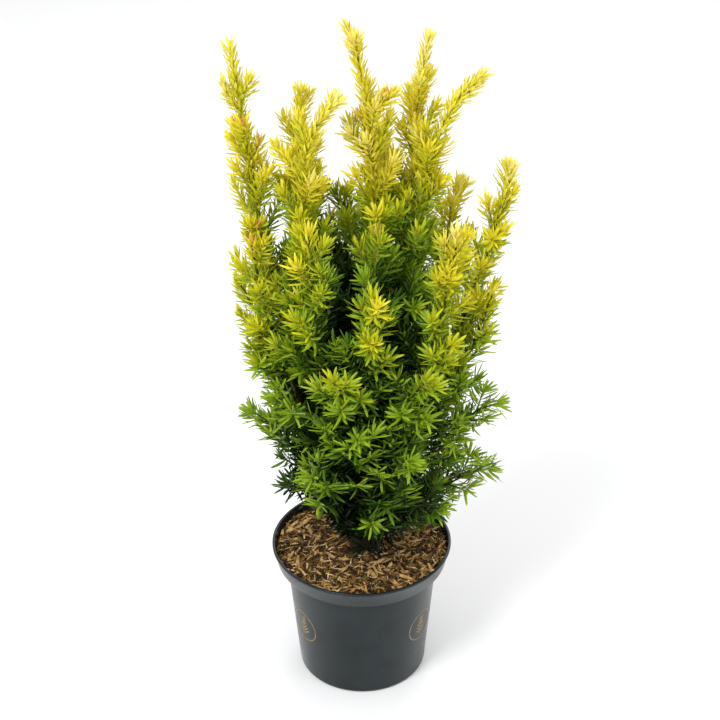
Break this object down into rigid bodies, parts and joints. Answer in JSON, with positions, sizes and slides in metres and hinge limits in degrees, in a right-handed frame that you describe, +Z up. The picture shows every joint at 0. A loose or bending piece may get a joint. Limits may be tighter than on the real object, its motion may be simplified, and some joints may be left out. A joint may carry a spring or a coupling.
{
  "type": "potted english yew",
  "caption": "Young upright golden yew in a round nursery pot, with bare boughs inside and slim needle-clad leaders standing out of a dense crown.",
  "frame": {"origin": "centre of the pot's flat underside", "axes": "+Z up along the pot's axis, -Y towards the side that the picture shows, +X to the right in it"},
  "size_m": [0.2621, 0.2117, 0.6727],
  "materials": {
    "pot": "smooth injection-moulded plastic with a soft sheen",
    "mulch": "rough shredded bark over potting soil",
    "bark": "rough reddish-brown bark",
    "golden_needles": "leathery golden-yellow needles, slightly waxy",
    "green_needles": "leathery green needles, slightly waxy"
  },
  "bodies": {
    "root": {"pot": "pot", "soil": "mulch", "trunk": "bark", "west_leader_bough": "bark", "northwest_leader_bough": "bark", "hooked_leader_bough": "bark", "northeast_leader_bough": "bark", "east_hooked_leader_bough": "bark", "east_leader_bough": "bark", "north_leader_bough": "bark", "front_left_leader_bough": "bark", "west_front_leader_bough": "bark", "front_inner_leader_bough": "bark", "front_leader_bough": "bark", "front_right_leader_bough": "bark", "east_low_leader_bough": "bark", "west_low_leader_bough": "bark", "back_east_leader_bough": "bark", "back_west_leader_bough": "bark", "back_leader_bough": "bark", "east_back_leader_bough": "bark", "west_leader": "golden_needles", "northwest_leader": "golden_needles", "hooked_leader": "golden_needles", "northeast_leader": "golden_needles", "east_hooked_leader": "golden_needles", "east_leader": "golden_needles", "central_leader": "golden_needles", "back_east_leader": "golden_needles", "back_west_leader": "golden_needles", "north_leader": "golden_needles", "front_left_leader": "golden_needles", "west_front_leader": "golden_needles", "front_inner_leader": "golden_needles", "front_leader": "golden_needles", "front_right_leader": "golden_needles", "back_leader": "golden_needles", "east_back_leader": "golden_needles", "east_low_leader": "green_needles", "west_low_leader": "green_needles", "west_mid_spray": "green_needles", "west_low_spray": "green_needles", "east_mid_spray": "green_needles", "east_low_spray": "green_needles", "east_front_low_spray": "green_needles", "front_right_low_spray": "green_needles", "front_low_spray": "green_needles", "front_left_low_spray": "green_needles", "front_foot_spray": "green_needles", "front_right_mid_spray": "green_needles", "front_left_mid_spray": "green_needles", "back_low_spray": "green_needles", "back_west_low_spray": "green_needles", "back_east_low_spray": "green_needles", "back_foot_spray": "green_needles", "back_east_mid_spray": "green_needles", "back_west_mid_spray": "green_needles"}
  },
  "joints": []
}
